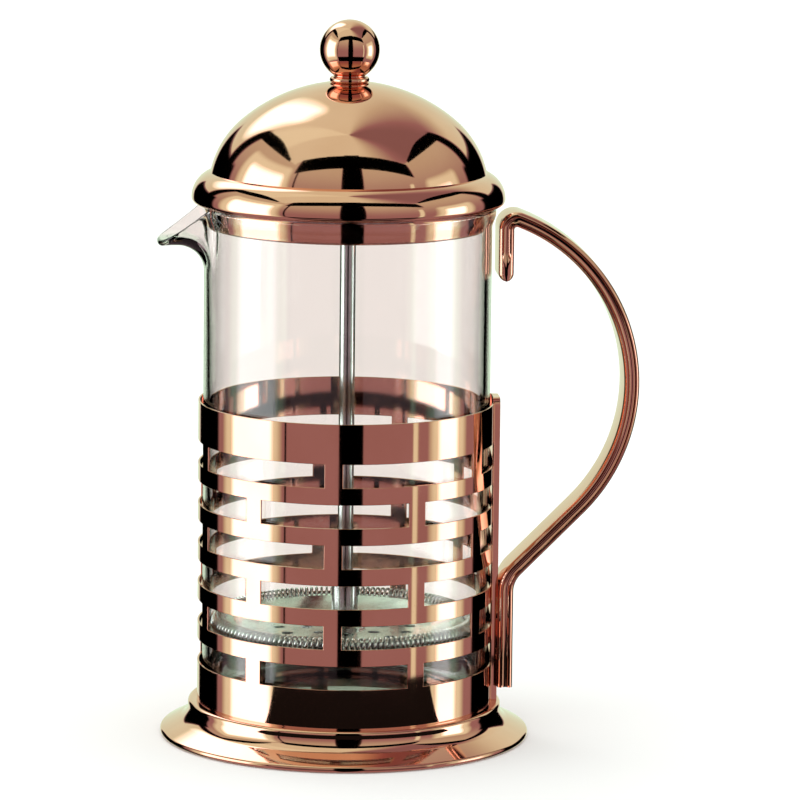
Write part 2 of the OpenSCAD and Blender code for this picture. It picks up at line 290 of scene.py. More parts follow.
gap = tent.between(azimuth, -6, 13, 1.2) * (elevation < 60)
gap = gap.most((front_high > 0.93) * (front_high < 1.68) * tent.between(azimuth, -51, 60, 2))
bow = (azimuth.size() - 98) / 34
gap = gap.most((side_high > 0.98) * (elevation < 53 - 9 * bow * bow) * (bow.size() < 1))
gap = gap.most(tent.between(azimuth.size(), 118, 158, 5) * tent.between(elevation, -42, 15, 5))
gap = gap.most(tent.between(azimuth.size(), 122, 132, 4) * tent.between(elevation, -42, 44, 8))
gap = gap.most(tent.between(azimuth, -48.6, -47.2, 1) * tent.between(elevation, -40, 42, 4))
gap = gap.most(tent.between(azimuth, -48, 60, 3) * tent.between(elevation, -44, -22, 4))
tone = tone * (1 - gap)

tones = [(0.0, (0.0, 0.0, 0.0)), (0.08, (0.012, 0.01, 0.01)), (0.33, (0.37, 0.25, 0.27)),
         (0.5, (0.65, 0.75, 0.55)), (0.66, (1.0, 1.34, 1.02)), (0.85, (1.9, 2.0, 1.9)),
         (1.0, (3.0, 3.1, 3.1))]
tent_colour = tent.node("ShaderNodeValToRGB", {"stops": tones}, {0: tone})
light_path = tent.node("ShaderNodeLightPath").socket.node.outputs
through = Value(world.node_tree, light_path["Glossy Depth"]) < 0.5
through = through * light_path["Is Transmission Ray"]
tent_colour = tent.blend(through, tent_colour, (0.94, 0.865, 0.81, 1))
tent_colour = tent.blend(light_path["Is Diffuse Ray"], tent_colour, (1.3, 1.3, 1.3, 1))
tent_colour = tent.blend(light_path["Is Camera Ray"], tent_colour, (1, 1, 1, 1))
background = tent.node("ShaderNodeBackground", values={0: tent_colour})
tent.node("ShaderNodeOutputWorld", values={0: background})
scene.view_settings.view_transform = "Standard"
print("tent painted with", len(world.node_tree.nodes), "nodes")


# %% [markdown]
# ## Materials
# The copper is a bright plate over steel, so it is nearly a mirror: a metal whose colour drifts a
# little and whose roughness shows the last polishing strokes. Every pattern reads Object
# coordinates, whose unit is the metre, so a scale of 1000 gives one feature a millimetre.

# %% A material and its coordinates
def material(name):
    """An empty material with its graph and the place on the piece."""
    made = bpy.data.materials.new(name)
    made.use_nodes = True
    made.node_tree.nodes.clear()
    graph = Graph(made.node_tree)
    place = graph.node("ShaderNodeTexCoord", out=3)
    return made, graph, place


def noise(graph, place, scale, detail=2.0, roughness=0.5):
    return graph.node("ShaderNodeTexNoise", values={
        "Vector": place, "Scale": scale, "Detail": detail, "Roughness": roughness})


def stretched(graph, place, across, along):
    """Coordinates drawn out along Z, or squeezed along it."""
    return graph.node("ShaderNodeMapping", values={"Vector": place,
                                                   "Scale": (across, across, along)})


def bump(graph, height, strength, distance):
    return graph.node("ShaderNodeBump", values={"Height": height, "Strength": strength,
                                                "Distance": distance})


def surface(graph, shader):
    graph.node("ShaderNodeOutputMaterial", values={0: shader})


# %% Polished copper plate
def copper_plate(name, lines):
    """Bright copper; lines is how the polishing strokes run: round the axis or along it."""
    made, graph, place = material(name)
    strokes = stretched(graph, place, *((60, 5000) if lines == "round" else (4000, 80)))
    grain = noise(graph, strokes, 1.0, 3.0)
    cloud = noise(graph, place, 45, 3.0)
    specks = graph.rise(noise(graph, place, 900, 1.0), 0.72, 0.80)
    tint = graph.blend(graph.rise(cloud, 0.3, 0.7), (0.80, 0.405, 0.295, 1), (0.84, 0.44, 0.33, 1))
    rough = 0.035 + 0.03 * grain + 0.03 * graph.rise(cloud, 0.45, 0.75) + 0.06 * specks
    metal = graph.node("ShaderNodeBsdfPrincipled", values={
        "Base Color": tint, "Metallic": 1.0, "Roughness": rough,
        "Normal": bump(graph, grain, 0.03, 0.00003)})
    surface(graph, metal)
    return made


copper_spun = copper_plate("copper_spun", "round")
copper_bar = copper_plate("copper_bar", "along")
print("copper:", copper_spun.name, copper_bar.name)


# %% [markdown]
# ## Steel, rubber, plastic and glass
# The rod is drawn steel, with lines along its length; the wire and the plates are bright and a
# little worn, and the base plate is made near black as painted shade. Black plastic has the fine
# grain of its mould.
# The glass is clear, but where its wall is seen edge-on it is mixed with grey glass: painted shade
# for the dark surroundings its edges refract.

# %% Steel
def steel(name, across, along, low, high, bright=0.70):
    made, graph, place = material(name)
    drawn = noise(graph, stretched(graph, place, across, along), 1.0, 3.0)
    stain = noise(graph, place, 140, 4.0, 0.6)
    tint = graph.blend(graph.rise(stain, 0.35, 0.7), (bright * 0.94, bright, bright * 0.985, 1),
                       (bright * 0.79, bright * 0.84, bright * 0.825, 1))
    metal = graph.node("ShaderNodeBsdfPrincipled", values={
        "Base Color": tint, "Metallic": 1.0, "Roughness": low + (high - low) * drawn,
        "Normal": bump(graph, drawn, 0.12, 0.00005)})
    surface(graph, metal)
    return made


drawn_steel = steel("drawn_steel", 5000, 40, 0.10, 0.24, 0.68)
pressed_steel = steel("pressed_steel", 700, 700, 0.14, 0.30, 0.88)
spring_steel = steel("spring_steel", 2500, 2500, 0.08, 0.2, 0.98)
# Steel made near black for the base plate: painted shade, standing in for the shade that falls
# inside the sleeve and foot
painted_shade_steel = steel("painted_shade_steel", 600, 600, 0.3, 0.5, 0.16)
print("steels:", drawn_steel.name, pressed_steel.name, spring_steel.name)


# %% Black plastic and rubber
def moulded(name, colour, worn, grain_scale, low, high, depth):
    made, graph, place = material(name)
    grain = noise(graph, place, grain_scale, 2.0)
    patch = noise(graph, place, 60, 3.0)
    tint = graph.blend(graph.rise(patch, 0.4, 0.75), colour, worn)
    skin = graph.node("ShaderNodeBsdfPrincipled", values={
        "Base Color": tint, "Roughness": low + (high - low) * patch,
        "Normal": bump(graph, grain, 0.35, depth)})
    surface(graph, skin)
    return made


black_plastic = moulded("black_plastic", (0.018, 0.018, 0.02, 1), (0.04, 0.04, 0.043, 1),
                        2600, 0.38, 0.6, 0.00006)
black_rubber = moulded("black_rubber", (0.022, 0.022, 0.022, 1), (0.05, 0.048, 0.046, 1),
                       1500, 0.62, 0.85, 0.0001)


# %% Glass
def beaker_glass():
    made, graph, place = material("beaker_glass")
    ripple = noise(graph, place, 30, 1.0)
    facing = graph.node("ShaderNodeLayerWeight", values={"Blend": 0.5}, out=1)
    bend = bump(graph, ripple, 0.12, 0.0003)
    clear = graph.node("ShaderNodeBsdfPrincipled", values={
        "Base Color": (0.995, 0.99, 0.985, 1), "Roughness": 0.0, "IOR": 1.47,
        "Transmission Weight": 1.0, "Normal": bend})
    # Grey glass for the edges: painted shade that stands in for the dark surroundings refracted at
    # the glass edges
    edge = graph.node("ShaderNodeBsdfPrincipled", values={
        "Base Color": (0.30, 0.31, 0.30, 1), "Roughness": 0.0, "IOR": 1.47,
        "Transmission Weight": 1.0, "Normal": bend})
    # How edge-on the wall is seen; it mixes in the grey glass as painted shade
    painted_edge_shade = graph.rise(facing, 0.62, 0.97)
    surface(graph, graph.node("ShaderNodeMixShader", values={0: painted_edge_shade * 0.75,
                                                             1: clear, 2: edge}))
    return made


glass = beaker_glass()
print("glass, plastic and rubber ready")


# %% [markdown]
# ## Spinning a section
# Most of the press is turned or spun, so one helper serves for it: a closed outline of radius and
# height goes once round the axis. `arc` gives the points of a round stretch. Edges sharper than
# a limit are marked, so flats stay flat and curves stay smooth.

# %% Spinning a section
def arc(centre, r, start, end, steps=12):
    """Points of an arc round a centre, angles in degrees."""
    angles = [math.radians(start + (end - start) * i / steps) for i in range(steps + 1)]
    return [(centre[0] + r * math.cos(a), centre[1] + r * math.sin(a)) for a in angles]


def as_piece(name, mesh, body, nodes, finish, crease=40):
    """Makes a finished mesh into a piece that rides on its body and stands for its CAD nodes."""
    mesh.name = name
    mesh.polygons.foreach_set("use_smooth", [True] * len(mesh.polygons))
    mesh.set_sharp_from_angle(angle=math.radians(crease))
    piece = bpy.data.objects.new(name, mesh)
    scene.collection.objects.link(piece)
    mesh.materials.clear()
    mesh.materials.append(finish)
    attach(piece, body)
    if nodes:
        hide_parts(*nodes)
    print(f"{name}: {len(mesh.polygons)} faces")
    return piece


def closed(build):
    """A mesh from a bmesh, its doubles merged and its faces turned outwards."""
    bmesh.ops.remove_doubles(build, verts=build.verts, dist=0.002 * MM)
    bmesh.ops.recalc_face_normals(build, faces=build.faces)
    mesh = bpy.data.meshes.new("made")
    build.to_mesh(mesh)
    build.free()
    return mesh


def spun(outline, segments=192):
    """A closed outline of (radius, height) points in metres, taken once round the Z axis."""
    build = bmesh.new()
    rings = []
    for k in range(segments):
        a = 2 * math.pi * k / segments
        rings.append([build.verts.new((r * math.cos(a), r * math.sin(a), h)) for r, h in outline])
    for k in range(segments):
        here, there = rings[k], rings[(k + 1) % segments]
        for i in range(len(outline)):
            j = (i + 1) % len(outline)
            on_axis = [outline[i][0] < 1e-9, outline[j][0] < 1e-9]
            if all(on_axis):
                continue
            corners = [here[i], there[i], there[j], here[j]]
            if on_axis[0]:
                corners = [here[i], there[j], here[j]]
            if on_axis[1]:
                corners = [here[i], there[i], here[j]]
            build.faces.new(corners)
    return closed(build)


# %% [markdown]
# ## The foot
# The foot is one piece of sheet spun over a former: a flat shelf round the sleeve, a tight
# collar, a hollow cove, a sloping brim and a rolled lip with a flat hem underneath. Its section
# is drawn once and spun.

# %% The foot
foot_r = radius("base_ring")
shelf_z = top("base_ring")
foot_t = 0.9 * MM
collar_bend = foot_t + 0.3 * MM
collar_x = sleeve_r + 2.5 * MM
cove_r = 5.3 * MM
brim = 64
lip_r = foot_t + 0.15 * MM
lip_x = foot_r - lip_r
cove_x = collar_x + collar_bend + cove_r
slope = (math.cos(math.radians(brim)), math.sin(math.radians(brim)))
cove_z = (slope[0] * (lip_x - cove_x) + slope[1] * lip_r + lip_r + cove_r) / slope[1]
hem_x = lip_x - 2.4 * MM
edge_r = 0.2 * MM

foot = arc((sleeve_r + edge_r, shelf_z - edge_r), edge_r, 180, 90, 3)
foot += arc((collar_x, shelf_z - collar_bend), collar_bend, 90, 0, 10)
foot += arc((cove_x, cove_z), cove_r, 180, 180 + brim, 24)
foot += arc((lip_x, lip_r), lip_r, brim, -90, 16)
foot += [(hem_x, 0), (hem_x, foot_t), (lip_x, foot_t)]
foot += arc((lip_x, lip_r), lip_r - foot_t, brim - 20, brim, 2)
foot += arc((cove_x, cove_z), cove_r + foot_t, 180 + brim, 180, 24)
foot += arc((collar_x, shelf_z - collar_bend), collar_bend - foot_t, 0, 90, 5)
foot += [(sleeve_r, shelf_z - foot_t)]
as_piece("foot_ring", spun(foot, 256), "frame", ["base_ring"], copper_spun)

# %% The underside of the foot
cover_r = radius("base_cover")
cover_t = top("base_cover")
cover = [(0, 0.35 * MM), (18 * MM, 0.35 * MM)] + arc((20 * MM, 0.4 * MM), 0.4 * MM, 250, 290, 4)
for rib in range(4):
    r0 = (26 + 8 * rib) * MM
    cover += [(r0, 0), (r0 + 5.2 * MM, 0), (r0 + 5.6 * MM, 0.4 * MM), (r0 + 7.4 * MM, 0.4 * MM)]
cover = [p for p in cover if p[0] < cover_r - 1.5 * MM]
cover += [(cover_r - 0.9 * MM, 0), *arc((cover_r - 0.3 * MM, 0.3 * MM), 0.3 * MM, -90, 0, 4)]
cover += arc((cover_r - 0.3 * MM, cover_t - 0.3 * MM), 0.3 * MM, 0, 90, 4) + [(0, cover_t)]
as_piece("foot_cover", spun(cover, 128), "frame", ["base_cover"], black_plastic)

# %% [markdown]
# ## Punching the sleeve
# The sleeve starts as flat sheet. Its slots run in rows like bricks, each row shifted by half a
# brick. The sheet below is scored along every line that a slot edge can fall on, with a small
# round in each slot's corner. Geometry Nodes then do what the press shop does: they punch out
# every part of the sheet that lies inside a slot, and roll the sheet up. The test is a formula
# for the distance to a rounded rectangle, so pitch, height and web are plain inputs.

# %% Slot sizes
sleeve_top = top("slotted_sleeve")
sleeve_z = bottom("slotted_sleeve")
rows = 6
row_pitch = (sleeve_top - sleeve_z) * 0.1312
slot_h = row_pitch * 0.578
slot_top = sleeve_top - (sleeve_top - sleeve_z - (rows - 1) * row_pitch - slot_h) * 0.482
brick = 66.0
web = math.degrees(6 * MM / sleeve_r)
plain = math.degrees(6.8 * MM / sleeve_r)
corner = 0.7 * MM
corner_a = math.degrees(corner / sleeve_r)
print("slots", round(slot_h / MM, 2), "mm high every", round(row_pitch / MM, 2), "mm")


# %% The scored sheet
def slot_spans(row):
    """Start and end angles of one row's slots, counted from the seam."""
    spans = []
    for k in range(-1, 6):
        first = (brick / 2 if row % 2 == 0 else 0) + k * brick + web / 2
        start, end = max(first, plain), min(first + brick - web, 360 - plain)
        if end - start > 4:
            spans.append((start, end))
    return spans


def scored_sheet():
    """Flat sheet as x = angle in degrees, z = height, with every slot corner rounded."""
    slots = {row: slot_spans(row) for row in range(rows)}
    ends = sorted({a for spans in slots.values() for span in spans for a in span})
    angles = sorted({round(a, 4) for e in ends for a in (e - corner_a, e, e + corner_a)})
    fill = [i * 2.5 for i in range(145)]
    angles += [a for a in fill if all(abs(a - b) > 0.45 for b in angles)]
    angles = sorted(a for a in angles if 0 <= a <= 360)
    heights = [sleeve_z, sleeve_top]
    for row in range(rows):
        high = slot_top - row * row_pitch
        heights += [high, high - corner, high - slot_h + corner, high - slot_h]
    heights = sorted(heights)
    corners = {}
    for row, spans in slots.items():
        high = slot_top - row * row_pitch
        for start, end in spans:
            for a, da in ((start, 1), (end, -1)):
                for h, dh in ((high, -1), (high - slot_h, 1)):
                    key = (round(a + da * corner_a / 2, 2),
                           round((h + dh * corner / 2) / MM, 2))
                    corners[key] = (a, da, h, dh)
    build = bmesh.new()
    grid = [[build.verts.new((a, 0, h)) for h in heights] for a in angles]
    for i in range(len(angles) - 1):
        for j in range(len(heights) - 1):
            quad = [grid[i][j], grid[i + 1][j], grid[i + 1][j + 1], grid[i][j + 1]]
            key = (round((angles[i] + angles[i + 1]) / 2, 2),
                   round((heights[j] + heights[j + 1]) / 2 / MM, 2))
            if key not in corners:
                build.faces.new(quad)
                continue
            a, da, h, dh = corners[key]
            tip = min(quad, key=lambda v: abs(v.co.x - a) + abs(v.co.z - h) * 1000)
            k = quad.index(tip)
            after, far, before = quad[(k + 1) % 4], quad[(k + 2) % 4], quad[(k + 3) % 4]
            level = after.co.z == tip.co.z
            curve = []
            for step in (1, 2, 3):
                t = math.radians(90 * step / 4)
                part_a, part_h = math.cos(t), math.sin(t)
                if level:
                    part_a, part_h = part_h, part_a
                curve.append(build.verts.new((far.co.x - da * corner_a * part_a, 0,
                                              far.co.z - dh * corner * part_h)))
            gaps = [abs(v.co.x - after.co.x) if level else abs(v.co.z - after.co.z)
                    for v in curve]
            if gaps[0] > gaps[-1]:
                curve = curve[::-1]
            build.faces.new([tip, after, *curve, before])
            build.faces.new([after, far, before, *curve[::-1]])
    mesh = bpy.data.meshes.new("scored_sheet")
    build.to_mesh(mesh)
    build.free()
    return mesh


sheet = scored_sheet()
print("scored sheet:", len(sheet.polygons), "faces")


# %% Geometry Nodes helpers
def geometry_tree(name, inputs):
    """A Geometry Nodes tree with named inputs; gives the tree, its graph and its input values."""
    tree = bpy.data.node_groups.new(name, "GeometryNodeTree")
    tree.interface.new_socket("Geometry", in_out="INPUT", socket_type="NodeSocketGeometry")
    for label, value in inputs.items():
        kind = {int: "NodeSocketInt", float: "NodeSocketFloat"}.get(type(value),
                                                                    "NodeSocketMaterial")
        tree.interface.new_socket(label, in_out="INPUT", socket_type=kind)
    tree.interface.new_socket("Geometry", in_out="OUTPUT", socket_type="NodeSocketGeometry")
    entry = tree.nodes.new("NodeGroupInput")
    given = {s.name: Value(tree, s) for s in entry.outputs if s.name}
    return tree, Graph(tree), given


def ended(graph, geometry, finish):
    """Ends a tree in Realize Instances and Set Material."""
    real = graph.node("GeometryNodeRealizeInstances", values={0: geometry})
    coated = graph.node("GeometryNodeSetMaterial", values={"Geometry": real, "Material": finish})
    way_out = graph.tree.nodes.new("NodeGroupOutput")
    graph.tree.links.new(coated.socket, way_out.inputs[0])


def grown(tree, start_mesh, inputs):
    """Runs a tree on a mesh and gives the result as a plain mesh."""
    holder = bpy.data.objects.new(tree.name, start_mesh)
    scene.collection.objects.link(holder)
    modifier = holder.modifiers.new("grow", "NODES")
    modifier.node_group = tree
    named = {s.name: s.identifier for s in tree.interface.items_tree if s.in_out == "INPUT"}
    for label, value in inputs.items():
        modifier[named[label]] = value
    depsgraph = bpy.context.evaluated_depsgraph_get()
    mesh = bpy.data.meshes.new_from_object(holder.evaluated_get(depsgraph))
    bpy.data.objects.remove(holder)
    return mesh


# %% Punch and roll the sheet
sizes = {"Radius": sleeve_r, "Slot Top": slot_top, "Row Pitch": row_pitch, "Slot Height": slot_h,
         "Rows": rows, "Brick": brick, "Web": web, "Plain": plain, "Corner": corner}
tree, punch, given = geometry_tree("punch_and_roll", {**sizes, "Finish": None})
sheet_a, _, sheet_z = punch.parts(punch.node("GeometryNodeInputPosition").socket)
below = given["Slot Top"] - sheet_z
row = (below / given["Row Pitch"]).whole().most(0).least(given["Rows"] - 1)
up = (below - row * given["Row Pitch"] - given["Slot Height"] / 2).size()
odd = row.math("MODULO", row, 2)
shift = given["Brick"] * (1 - odd) / 2
count = ((sheet_a - shift) / given["Brick"]).whole()
start = (count * given["Brick"] + shift + given["Web"] / 2).most(given["Plain"])
end = ((count + 1) * given["Brick"] + shift - given["Web"] / 2).least(360 - given["Plain"])
arc_length = given["Radius"] * (math.pi / 180)
along = (sheet_a - (start + end) / 2).size() * arc_length
out_x = along - (end - start) / 2 * arc_length + given["Corner"]
out_z = up - given["Slot Height"] / 2 + given["Corner"]
beyond = (out_x.most(0) * out_x.most(0) + out_z.most(0) * out_z.most(0)).root()
distance = beyond + out_x.most(out_z).least(0) - given["Corner"]
inside = (distance < -0.00001) * (end - start > 4)
punched = punch.node("GeometryNodeDeleteGeometry", {"domain": "FACE"},
                     {"Geometry": given["Geometry"], "Selection": inside})
turn_a = sheet_a * (-math.pi / 180)
rolled = punch.node("GeometryNodeSetPosition", values={
    "Geometry": punched, "Position": punch.joined(given["Radius"] * turn_a.cosine(),
                                                  given["Radius"] * turn_a.sine(),
                                                  sheet_z)})
merged = punch.node("GeometryNodeMergeByDistance", values={"Geometry": rolled,
                                                           "Distance": 0.002 * MM})
ended(punch, merged, given["Finish"])
sleeve_mesh = grown(tree, sheet, {**sizes, "Finish": copper_spun})
sleeve = as_piece("sleeve", sleeve_mesh, "frame", ["slotted_sleeve"], copper_spun)
wall = sleeve.modifiers.new("wall", "SOLIDIFY")
wall.thickness = sleeve_t
wall.offset = -1
wall.use_even_offset = True
rounded = sleeve.modifiers.new("rounded edges", "BEVEL")
rounded.width = 0.14 * MM
rounded.segments = 2
rounded.limit_method = "ANGLE"
rounded.angle_limit = math.radians(60)
rounded.harden_normals = True

# %% [markdown]
# ## The strap behind the seam
# A flat strip covers the seam and carries the handle. Its back is hollowed to sit on the sleeve,
# its front is flat, its sides lean in towards the front, and its upper corners are round. It is
# drawn station by station across its width, and a small bevel catches the light on its edges.

# %% The seam strap
strap_low, strap_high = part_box("seam_strap")
strap_w = strap_high.y - strap_low.y
strap_front = strap_high.x


def strap_mesh(stations=24, corner=2.5 * MM, lean=0.9 * MM):
    build = bmesh.new()
    columns = []
    for k in range(stations + 1):
        across = strap_low.y + strap_w * (0.5 - 0.5 * math.cos(math.pi * k / stations))
        past = max(0, abs(across) - (strap_w / 2 - corner))
        high = strap_high.z - corner + math.sqrt(max(0, corner * corner - past * past))
        back = math.sqrt(sleeve_r * sleeve_r - across * across)
        narrow = across * (1 - lean / (strap_w / 2))
        columns.append([build.verts.new(v) for v in (
            (back, across, strap_low.z), (strap_front, narrow, strap_low.z),
            (strap_front, narrow, high), (back, across, high))])
    for a, b in zip(columns, columns[1:]):
        for i in range(4):
            build.faces.new([a[i], a[(i + 1) % 4], b[(i + 1) % 4], b[i]])
    build.faces.new(columns[0])
    build.faces.new(columns[-1])
    return closed(build)


strap = as_piece("strap", strap_mesh(), "frame", ["seam_strap"], copper_bar, 50)
soft_edge = strap.modifiers.new("rounded edges", "BEVEL")
soft_edge.width = 0.35 * MM
soft_edge.segments = 3
soft_edge.limit_method = "ANGLE"
soft_edge.angle_limit = math.radians(50)
soft_edge.harden_normals = True

# %% [markdown]
# ## The handle
# The handle is one bar, rounded at its corners and grooved along both sides, bent four ways: up
# the strap, out at 45 degrees, back over in one wide bow, and down again in a tight hook beside
# the rim of the glass. A walk along the bar gives the stations, each with a place and a heading,
# and the section is set across every one. The grooves fade out before the round tip.

# %% The way along the bar
bar_t = 5.1 * MM
bar_w = radius("handle") * 2
bow_r = 59.4 * MM
leg_x = strap_front + bar_t / 2
leg_z = bottom("handle")
bow_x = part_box("handle")[1].x - bar_t / 2 - bow_r
hook_x = radius("glass_beaker") + 0.25 * MM + bar_t / 2
hook_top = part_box("handle")[1].z - bar_t / 2
crown = 55.8 * MM
bow_z = hook_top - crown
low_bend = 11 * MM
low_z = leg_x - (bow_x - bow_z + bow_r * math.sqrt(2)) - low_bend * math.tan(math.radians(22.5))
straight = (bow_x + bow_r / math.sqrt(2) - leg_x - low_bend * (1 - 1 / math.sqrt(2))) * math.sqrt(2)
half = (hook_x - bow_x) - (hook_top - bow_z) + bow_r
rest = (hook_x - bow_x) ** 2 + (hook_top - bow_z) ** 2 - bow_r ** 2
hook_r = -half + math.sqrt(half * half - rest)
hook_a = round(math.degrees(math.atan2(hook_top - hook_r - bow_z, hook_x + hook_r - bow_x)))
hook_drop = 20.6 * MM
tip_plain = 6 * MM
fade_length = 3 * MM
low_angle = 45


class Walk:
    """Stations along a bent bar: place, heading in degrees from upright, and way gone."""

    def __init__(self, x, z):
        self.x, self.z, self.heading, self.gone = x, z, 0.0, 0.0
        self.stations = [(x, z, 0.0, 0.0)]

    def step(self, length, turning=0.0):
        middle = math.radians(self.heading + turning / 2)
        half_turn = math.radians(abs(turning) / 2)
        chord = length * math.sin(half_turn) / half_turn if turning else length
        self.x += chord * math.sin(middle)
        self.z += chord * math.cos(middle)
        self.heading += turning
        self.gone += length
        self.stations.append((self.x, self.z, self.heading, self.gone))

    def run(self, length, pieces):
        for _ in range(pieces):
            self.step(length / pieces)

    def bend(self, r, angle, side, pieces):
        for _ in range(pieces):
            self.step(r * math.radians(angle) / pieces, side * angle / pieces)


walk = Walk(leg_x, leg_z)
walk.run(low_z - leg_z, 4)
walk.bend(low_bend, low_angle, 1, 14)
walk.run(straight, 4)
walk.bend(bow_r, low_angle + hook_a, -1, 56)
walk.bend(hook_r, 180 - hook_a, -1, 30)
walk.run(hook_drop - hook_r - bar_t / 2, 10)
tip_start = walk.gone
walk.run(bar_t / 2, 10)
print("bar length", round(walk.gone / MM, 1), "mm")


# %% Set the section along the way
def handle_mesh():
    groove_r, groove_d = 1.5 * MM, 1.3 * MM
    build = bmesh.new()
    rings = []
    for bar_x, bar_z, heading, gone in walk.stations:
        to_tip = walk.gone - gone
        fade = min(1, max(0, (to_tip - tip_plain) / fade_length))
        depth = groove_d * (fade * fade * (3 - 2 * fade))
        into = max(0, gone - tip_start)
        thin = math.sqrt(max(0.0, 1 - (into / (bar_t / 2)) ** 2)) if into else 1.0
        thin = max(thin, 0.04)
        outline = handle_outline(depth, groove_r, thin)
        h = math.radians(heading)
        ring = []
        for t, w in outline:
            ring.append(build.verts.new((bar_x + t * math.cos(h), w, bar_z - t * math.sin(h))))
        rings.append(ring)
    for a, b in zip(rings, rings[1:]):
        for i in range(len(a)):
            j = (i + 1) % len(a)
            build.faces.new([a[i], a[j], b[j], b[i]])
    build.faces.new(rings[0])
    build.faces.new(rings[-1])
    return closed(build)


def handle_outline(depth, groove_r, thin):
    """The section: rounded corners, and a round-bottomed groove in each narrow side."""
    ht, hw = bar_t / 2 * thin, bar_w / 2
    round_r = min(bar_t * 0.42, ht * 0.9)
    steps = 10
    outline = []
    for side in (1, -1):
        first = arc((ht - round_r, hw - round_r), round_r, 0, 90, steps)
        second = arc((-(ht - round_r), hw - round_r), round_r, 90, 180, steps)
        middle = [((ht - round_r) * (1 - 2 * i / 8), hw) for i in range(1, 8)]
        face = first + middle + second
        sunk = []
        for t, w in face:
            reach = groove_r * 0.985
            dip = 0
            if abs(t) < reach and depth > 0:
                floor = hw + groove_r - depth - math.sqrt(groove_r * groove_r - t * t)
                dip = max(0, w - floor)
            sunk.append((t, w - dip))
        outline += [(side * t, side * w) for t, w in sunk]
    return outline


as_piece("grooved_handle", handle_mesh(), "frame", ["handle"], copper_bar, 38)

# %% [markdown]
# ## The glass beaker
# The beaker is blown and its spout pulled by hand, so wall and spout are one skin. Two sections
# of the wall are drawn with the same number of points: the plain one, with a small flared rim,
# and the one through the middle of the spout, where the wall curls out and down to the lip. Each
# angle round the glass takes a mix of the two.

# %% The glass beaker
glass_r = sleeve_r - sleeve_t - 0.35 * MM
glass_t = 2.3 * MM
glass_z = bottom("glass_beaker")
floor_t = 2.5 * MM
corner_r = 12 * MM
bore_r = glass_r - glass_t
spout_reach = -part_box("glass_beaker")[0].x - glass_r
rim_out = radius("glass_beaker") - glass_r
spout_start = rim_z - 23 * MM
spout_bend = 9.5 * MM
spout_half = 17.5
level_low = glass_z + 60 * MM
level_high = spout_start - 20 * MM
middle_r = glass_r * 0.4


def wall_below():
    """Outer wall from the middle of the bottom up to where the spout starts."""
    outline = [(0, glass_z), (middle_r, glass_z)]
    outline += arc((glass_r - corner_r, glass_z + corner_r), corner_r, -90, 0, 14)
    return outline + [(glass_r, level_low), (glass_r, level_high)]


def eased(t):
    return t * t * (3 - 2 * t)


def plain_rim(steps=24):
    """The plain wall above the spout's start: outside up, over the rim, inside down."""
    rise = rim_z - spout_start
    outside, inside = [], []
    for i in range(steps + 1):
        h = spout_start + (rise - 1.15 * MM) * i / steps
        flare = rim_out * eased(min(1, max(0, (h - (rim_z - 7.5 * MM)) / (5 * MM))))
        outside.append((glass_r + flare, h))
        inside.append((bore_r + flare * 0.75, h))
    wide = (outside[-1][0] - inside[-1][0]) / 2
    over = arc((inside[-1][0] + wide, rim_z - wide), wide, 0, 180, 10)
    return outside + over + inside[::-1]


def spout_rim(steps=24):
    """The wall through the middle of the spout: a quarter turn outwards, then the flat lip."""
    lip_t = 2.1 * MM
    centre = (glass_r + spout_bend, spout_start)
    lip_end = glass_r + spout_reach - lip_t / 2
    turned = 18
    outside = arc(centre, spout_bend, 180, 90, turned)
    inside = arc(centre, spout_bend + lip_t, 180, 90, turned)
    for i in range(1, steps - turned + 1):
        t = i / (steps - turned)
        droop = 0.25 * MM * t * t
        where = centre[0] + (lip_end - centre[0]) * t
        outside.append((where, spout_start + spout_bend - droop))
        inside.append((where, spout_start + spout_bend + lip_t - droop))
    middle = (lip_end, outside[-1][1] + lip_t / 2)
    return outside + arc(middle, lip_t / 2, -90, 90, 10) + inside[::-1]


def beaker_mesh(segments=288):
    inside = [(bore_r, level_high), (bore_r, level_low)]
    inner_r = corner_r - glass_t
    inside += arc((bore_r - inner_r, glass_z + floor_t + inner_r), inner_r, 0, -90, 12)
    inside += [(middle_r, glass_z + floor_t), (0, glass_z + floor_t)]
    plain_part, spout_part = plain_rim(), spout_rim()
    build = bmesh.new()
    rings = []
    for k in range(segments):
        from_spout = (k * 360 / segments + 180) % 360 - 180
        u = min(1, abs(from_spout) / spout_half)
        pull = (1 - u ** 4) ** 2
        outline = wall_below()
        outline += [(p[0] + (q[0] - p[0]) * pull, p[1] + (q[1] - p[1]) * pull)
                    for p, q in zip(plain_part, spout_part)]
        outline += inside
        a = math.pi + math.radians(from_spout)
        rings.append([build.verts.new((r * math.cos(a), r * math.sin(a), h)) for r, h in outline])
    count = len(rings[0])
    for k in range(segments):
        here, there = rings[k], rings[(k + 1) % segments]
        for i in range(count - 1):
            if i == 0:
                build.faces.new([here[0], there[1], here[1]])
            elif i == count - 2:
                build.faces.new([here[i], there[i], here[i + 1]])
            else:
                build.faces.new([here[i], there[i], there[i + 1], here[i + 1]])
    return closed(build)


as_piece("beaker", beaker_mesh(), "beaker", ["glass_beaker"], glass, 60)

# %% [markdown]
# ## The lid
# The dome is a spun shell in two sweeps, a wide one over the top and a tighter one down the side,
# then a crease, a rounded brow and a rolled edge. Under it sits the liner, a shallow cup whose
# flange rests on the glass and whose wall keeps the lid centred.

